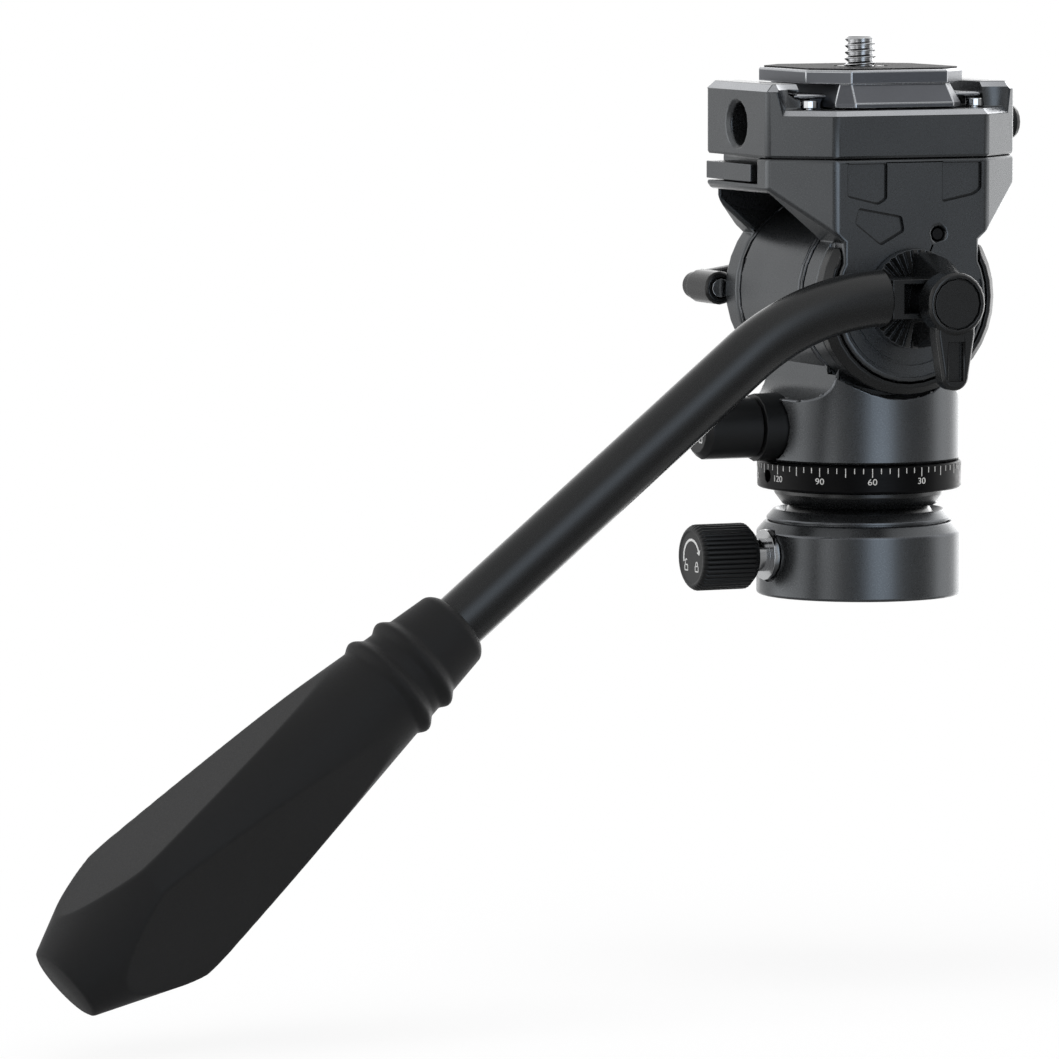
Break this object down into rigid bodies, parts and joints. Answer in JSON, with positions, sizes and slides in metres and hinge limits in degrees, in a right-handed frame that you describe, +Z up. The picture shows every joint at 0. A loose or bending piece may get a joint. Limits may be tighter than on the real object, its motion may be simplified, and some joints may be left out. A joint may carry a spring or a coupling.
{
  "type": "fluid video head",
  "caption": "Compact fluid video head on a levelling ball, with pan and tilt drag, a quick-release camera plate and a bent pan handle with a rubber grip.",
  "frame": {"origin": "on the pan axis, in the plane of the base's underside where it sits on a tripod", "axes": "+Z up along the pan axis, Y along the tilt axis with the handle on the -Y side, -X towards the operator, where the handle and the knobs point"},
  "size_m": [0.2203, 0.0853, 0.1792],
  "materials": {
    "anodised_grey": "bead-blasted, dark grey anodised, machined chamfers a little brighter",
    "plate_grey": "grey anodised, machined edges bright",
    "bare_aluminium": "plain turned",
    "satin_black": "satin black anodised",
    "bright_steel": "turned and plated",
    "dark_steel": "blackened",
    "knob_black": "fine moulded grain",
    "black_rubber": "matte, slightly worn",
    "nylon": "turned",
    "insert_brass": "turned"
  },
  "bodies": {
    "base": {"base_cup": "anodised_grey", "ball_retaining_collar": "satin_black", "tripod_thread_insert": "bright_steel", "ball_brake_shoe": "nylon"},
    "base_lock": {"base_knob": "knob_black", "base_knob_stud": "bright_steel"},
    "ball_seat": {"ball_seat_liner": "nylon"},
    "ball": {"levelling_ball": "satin_black", "graduated_ring": "satin_black", "ring_set_screw": "dark_steel", "pan_spindle": "bright_steel", "spindle_nut": "bright_steel", "pan_drag_drum": "bare_aluminium", "pan_thrust_bearing": "bright_steel"},
    "pan_housing": {"pan_body": "anodised_grey", "pan_retaining_ring": "bright_steel", "pan_brake_shoe": "nylon", "pan_knob_bush": "knob_black", "drum_end_cap": "anodised_grey", "tilt_bearing_near": "bright_steel", "tilt_bearing_far": "bright_steel", "tilt_drag_stator": "bare_aluminium"},
    "pan_lock": {"pan_knob": "knob_black", "pan_knob_stud": "bright_steel"},
    "yoke": {"tilt_yoke": "anodised_grey", "cheek_ring": "satin_black", "yoke_rosette": "satin_black", "tilt_axle": "bright_steel", "tilt_drag_rotor": "bare_aluminium", "handle_stud": "bright_steel", "yoke_set_screw": "dark_steel", "quick_release_receiver": "anodised_grey", "fixed_jaw": "satin_black", "receiver_screw_1": "bright_steel", "receiver_screw_2": "bright_steel", "receiver_screw_3": "bright_steel", "receiver_screw_4": "bright_steel"},
    "slider": {"lock_slider": "anodised_grey"},
    "release": {"release_button": "knob_black", "release_pushrod": "bright_steel", "moving_jaw": "satin_black"},
    "plate": {"quick_release_plate": "plate_grey", "plate_pad": "black_rubber"},
    "screw": {"camera_screw": "bright_steel", "screw_ring": "bright_steel"},
    "handle": {"handle_hub": "satin_black", "handle_tube": "satin_black", "handle_grip": "black_rubber"},
    "clamp_lever": {"handle_lever": "knob_black", "lever_cap": "knob_black", "lever_insert": "insert_brass"},
    "tilt_lock": {"tilt_lock_lever": "satin_black", "tilt_lock_grip": "satin_black", "tilt_lock_stud": "bright_steel", "tilt_lock_screw": "bright_steel"}
  },
  "joints": [
    {"name": "level_roll", "type": "hinge", "parent": "base", "child": "ball_seat", "pos_m": [0, 0, 0.0083], "axis": [1, 0, 0], "range_deg": [-3.5, 3.5]},
    {"name": "level_pitch", "type": "hinge", "parent": "ball_seat", "child": "ball", "pos_m": [0, 0, 0.0083], "axis": [0, 1, 0], "range_deg": [-3.5, 3.5]},
    {"name": "base_lock_turn", "type": "hinge", "parent": "base", "child": "base_lock", "pos_m": [-0.0303, 0, 0.0083], "axis": [-1, 0, 0], "continuous": true},
    {"name": "pan", "type": "hinge", "parent": "ball", "child": "pan_housing", "pos_m": [0, 0, 0.027], "axis": [0, 0, 1], "continuous": true},
    {"name": "pan_lock_turn", "type": "hinge", "parent": "pan_housing", "child": "pan_lock", "pos_m": [-0.0296, 0, 0.03345], "axis": [-1, 0, 0], "continuous": true},
    {"name": "tilt", "type": "hinge", "parent": "pan_housing", "child": "yoke", "pos_m": [0, 0, 0.0594], "axis": [0, 1, 0], "range_deg": [-65, 80]},
    {"name": "lock_slide", "type": "slide", "parent": "yoke", "child": "slider", "axis": [0, -1, 0], "range_m": [0, 0.002]},
    {"name": "release_press", "type": "slide", "parent": "yoke", "child": "release", "axis": [-1, 0, 0], "range_m": [0, 0.0021], "stiffness_N_per_m": 600, "springref_m": -0.002},
    {"name": "plate_slide", "type": "slide", "parent": "yoke", "child": "plate", "axis": [0, -1, 0], "range_m": [0, 0.035]},
    {"name": "screw_turn", "type": "hinge", "parent": "plate", "child": "screw", "pos_m": [0, 0, 0.1], "axis": [0, 0, 1], "continuous": true},
    {"name": "handle_angle", "type": "hinge", "parent": "yoke", "child": "handle", "pos_m": [0, -0.033, 0.0594], "axis": [0, 1, 0], "continuous": true},
    {"name": "clamp_lever_turn", "type": "hinge", "parent": "handle", "child": "clamp_lever", "pos_m": [0, -0.04, 0.0594], "axis": [0, 1, 0], "range_deg": [-120, 40]},
    {"name": "tilt_lock_turn", "type": "hinge", "parent": "yoke", "child": "tilt_lock", "pos_m": [0, 0.032, 0.0594], "axis": [0, 1, 0], "range_deg": [0, 90]}
  ]
}
